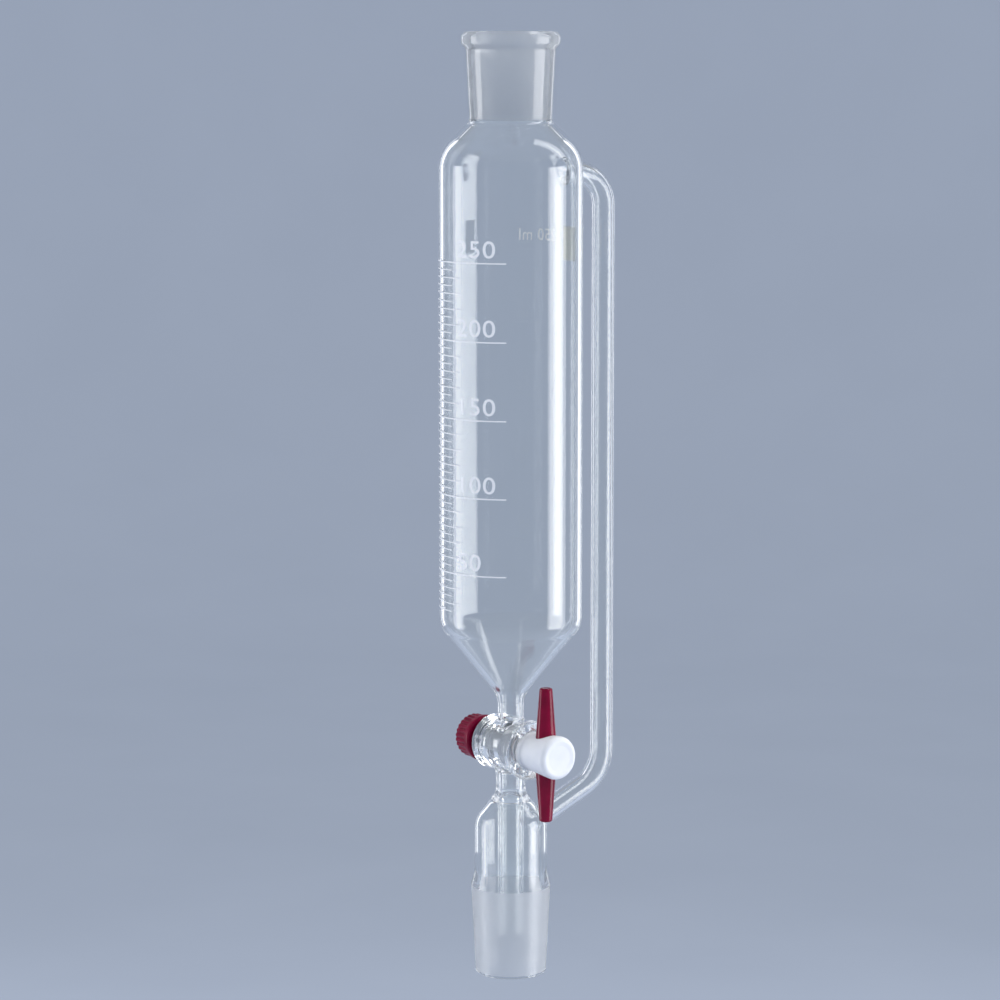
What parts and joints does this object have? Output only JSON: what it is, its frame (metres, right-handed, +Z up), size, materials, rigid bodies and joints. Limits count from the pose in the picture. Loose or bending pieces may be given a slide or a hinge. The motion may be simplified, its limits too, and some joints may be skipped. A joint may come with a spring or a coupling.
{
  "type": "graduated dropping funnel",
  "caption": "Graduated cylindrical dropping funnel with ground joints, a side tube and a stopcock with a plug, lever and knurled nut.",
  "frame": {"origin": "on the axis of the glass, at the wide end of the lower ground cone, where it meets the flask's socket", "axes": "+Z up along the glass towards the socket, -Y along the stopcock towards its lever, +X towards the side tube"},
  "size_m": [0.072, 0.056, 0.3442],
  "materials": {
    "clear_glass": "clear fire-polished borosilicate glass",
    "ground_glass": "borosilicate glass with a fine-ground, frosted joint face",
    "ptfe": "turned white PTFE, satin, slightly waxy",
    "red_plastic": "moulded crimson plastic with a soft gloss",
    "rubber": "black rubber"
  },
  "bodies": {
    "glass": {"socket_joint": "ground_glass", "body_shoulder": "clear_glass", "measuring_cylinder": "clear_glass", "lower_cone": "clear_glass", "inlet_stem": "clear_glass", "stopcock_barrel": "clear_glass", "drip_tube": "clear_glass", "vapour_jacket": "clear_glass", "cone_joint": "ground_glass", "side_tube_top": "clear_glass", "side_tube_riser": "clear_glass", "side_tube_foot": "clear_glass"},
    "plug": {"stopcock_plug": "ptfe", "lever_handle": "red_plastic"},
    "seals": {"sealing_washer": "ptfe", "o_ring": "rubber"},
    "nut": {"retaining_nut": "red_plastic"}
  },
  "joints": [
    {"name": "plug_turn", "type": "hinge", "parent": "glass", "child": "plug", "pos_m": [0, 0, 0.0518], "axis": [0, -1, 0], "continuous": true},
    {"name": "seal_slide", "type": "slide", "parent": "plug", "child": "seals", "axis": [0, 1, 0], "range_m": [0, 0.008]},
    {"name": "nut_turn", "type": "hinge", "parent": "seals", "child": "nut", "pos_m": [0, 0, 0.0518], "axis": [0, 1, 0], "range_deg": [0, 1440.5]}
  ],
  "couplings": [
    {"joint": "nut_turn", "follows": "seal_slide", "rad_per_m": 3141.6}
  ]
}
